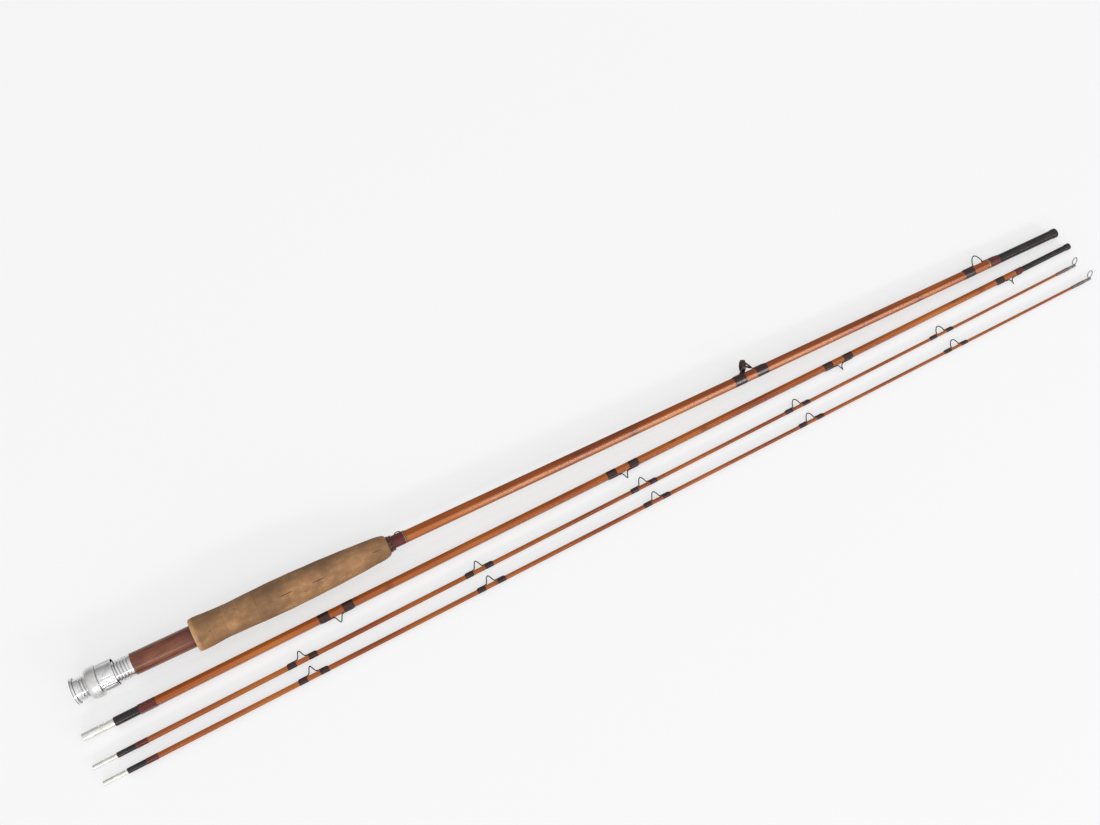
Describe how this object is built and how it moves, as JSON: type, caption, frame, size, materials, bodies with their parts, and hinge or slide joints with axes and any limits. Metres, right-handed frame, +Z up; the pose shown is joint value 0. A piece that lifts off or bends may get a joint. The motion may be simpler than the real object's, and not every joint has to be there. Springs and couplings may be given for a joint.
{
  "type": "fly rod",
  "caption": "Split-cane fly rod taken down into a butt with cork grip and screw-locking reel seat, a middle and two like tips, with ferrules, wire line guides and tip-tops.",
  "frame": {"origin": "bottom centre of the box round the four sections as they lie on the table", "axes": "+X from the reel seat towards the tips, along the butt section; +Y across the sections; +Z up"},
  "size_m": [0.9292, 0.087, 0.0273],
  "materials": {
    "varnished_cane": "varnished split cane",
    "cork": "handled cork",
    "seat_metal": "bright satin",
    "seat_spacer": "glossy red-brown",
    "blackened_ferrule": "blackened, with bright slides",
    "maroon_thread": "varnished thread",
    "dark_thread": "varnished thread",
    "guide_wire": "dulled wire",
    "stripper_ring": "hard brown ring",
    "winding_check": "dark brown"
  },
  "bodies": {
    "butt": {"butt_blank": "varnished_cane", "butt_cap": "seat_metal", "butt_female_ferrule": "blackened_ferrule", "butt_ferrule_wrap": "maroon_thread", "butt_rear_wrap": "dark_thread", "butt_snake_guide": "guide_wire", "cork_grip": "cork", "fixed_hood": "seat_metal", "hook_keeper": "guide_wire", "keeper_wrap": "maroon_thread", "seat_barrel": "seat_metal", "seat_spacer": "seat_spacer", "stripping_guide_frame": "guide_wire", "stripping_guide_front_wrap": "dark_thread", "stripping_guide_rear_wrap": "dark_thread", "stripping_guide_ring": "stripper_ring", "winding_check": "winding_check"},
    "sliding_hood": {"sliding_hood": "seat_metal"},
    "lock_nut": {"lock_nut": "seat_metal"},
    "mid": {"mid_1_front_wrap": "dark_thread", "mid_1_rear_wrap": "dark_thread", "mid_1_snake_guide": "guide_wire", "mid_2_front_wrap": "dark_thread", "mid_2_rear_wrap": "dark_thread", "mid_2_snake_guide": "guide_wire", "mid_3_front_wrap": "dark_thread", "mid_3_rear_wrap": "dark_thread", "mid_3_snake_guide": "guide_wire", "mid_4_rear_wrap": "dark_thread", "mid_4_snake_guide": "guide_wire", "mid_blank": "varnished_cane", "mid_female_ferrule": "blackened_ferrule", "mid_ferrule_wrap": "maroon_thread", "mid_male_ferrule": "blackened_ferrule", "mid_male_wrap": "maroon_thread"},
    "tip_a": {"tip_a_1_snake_guide": "guide_wire", "tip_a_2_snake_guide": "guide_wire", "tip_a_3_snake_guide": "guide_wire", "tip_a_4_snake_guide": "guide_wire", "tip_a_5_snake_guide": "guide_wire", "tip_a_blank": "varnished_cane", "tip_a_male_ferrule": "blackened_ferrule", "tip_a_male_wrap": "maroon_thread", "tip_a_top": "guide_wire", "tip_a_top_wrap": "dark_thread"},
    "tip_b": {"tip_b_1_snake_guide": "guide_wire", "tip_b_2_snake_guide": "guide_wire", "tip_b_3_snake_guide": "guide_wire", "tip_b_4_snake_guide": "guide_wire", "tip_b_5_snake_guide": "guide_wire", "tip_b_blank": "varnished_cane", "tip_b_male_ferrule": "blackened_ferrule", "tip_b_male_wrap": "maroon_thread", "tip_b_top": "guide_wire", "tip_b_top_wrap": "dark_thread"}
  },
  "joints": [
    {"name": "sliding_hood_slide", "type": "slide", "parent": "butt", "child": "sliding_hood", "axis": [0.9999, 0, -0.012], "range_m": [-0.0054, 0.013]},
    {"name": "lock_nut_turn", "type": "hinge", "parent": "sliding_hood", "child": "lock_nut", "pos_m": [-0.4462, 0.02833, 0.0151], "axis": [0.9999, 0, -0.012], "range_deg": [-815, 1955]},
    {"name": "mid_lift", "type": "slide", "parent": "butt", "child": "mid", "axis": [0, 0, 1], "range_m": [0, 0.3]},
    {"name": "tip_a_lift", "type": "slide", "parent": "butt", "child": "tip_a", "axis": [0, 0, 1], "range_m": [0, 0.3]},
    {"name": "tip_b_lift", "type": "slide", "parent": "butt", "child": "tip_b", "axis": [0, 0, 1], "range_m": [0, 0.3]}
  ],
  "couplings": [
    {"joint": "lock_nut_turn", "follows": "sliding_hood_slide", "rad_per_m": 2618}
  ]
}
